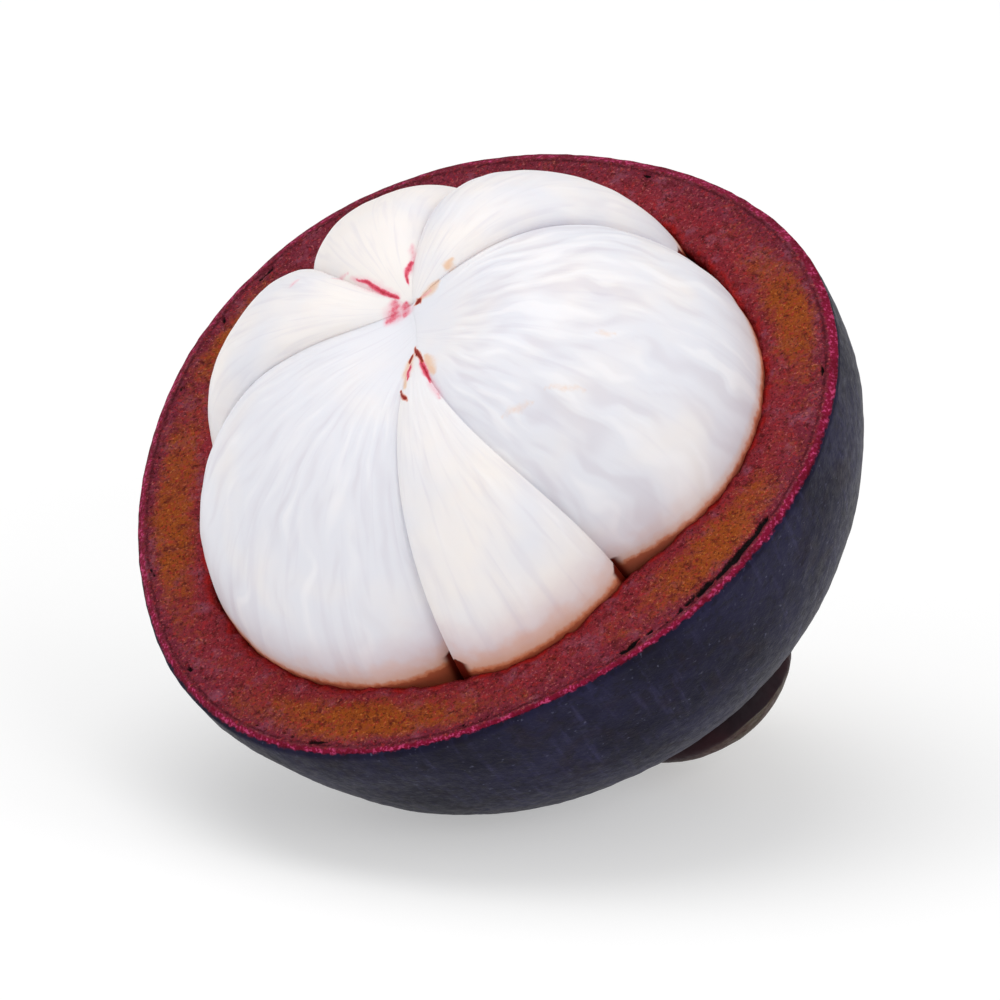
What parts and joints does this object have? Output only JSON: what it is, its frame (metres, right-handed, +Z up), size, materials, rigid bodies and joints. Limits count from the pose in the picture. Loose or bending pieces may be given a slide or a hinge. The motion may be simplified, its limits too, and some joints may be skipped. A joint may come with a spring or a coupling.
{
  "type": "opened mangosteen",
  "caption": "Mangosteen with the top of its thick purple rind cut away, white segmented flesh standing in the cup, calyx lobes and stem stub beneath.",
  "frame": {"origin": "on the surface the fruit lies on, under the middle of its bounding box", "axes": "+Z up; the opening leans 38 degrees from +Z towards -X and -Y, and the calyx is under the fruit towards +X and +Y"},
  "size_m": [0.058, 0.0556, 0.0498],
  "materials": {
    "rind": "satin",
    "flesh": "satin",
    "calyx": "satin",
    "stem": "matte"
  },
  "bodies": {
    "root": {"rind": "rind", "segment_wedge": "flesh", "segment_large_right": "flesh", "segment_upper": "flesh", "segment_small": "flesh", "segment_side": "flesh", "segment_large_left": "flesh", "calyx_lobe_front": "calyx", "calyx_lobe_right": "calyx", "calyx_lobe_back": "calyx", "calyx_lobe_under": "calyx", "stem_stub": "stem"}
  },
  "joints": []
}
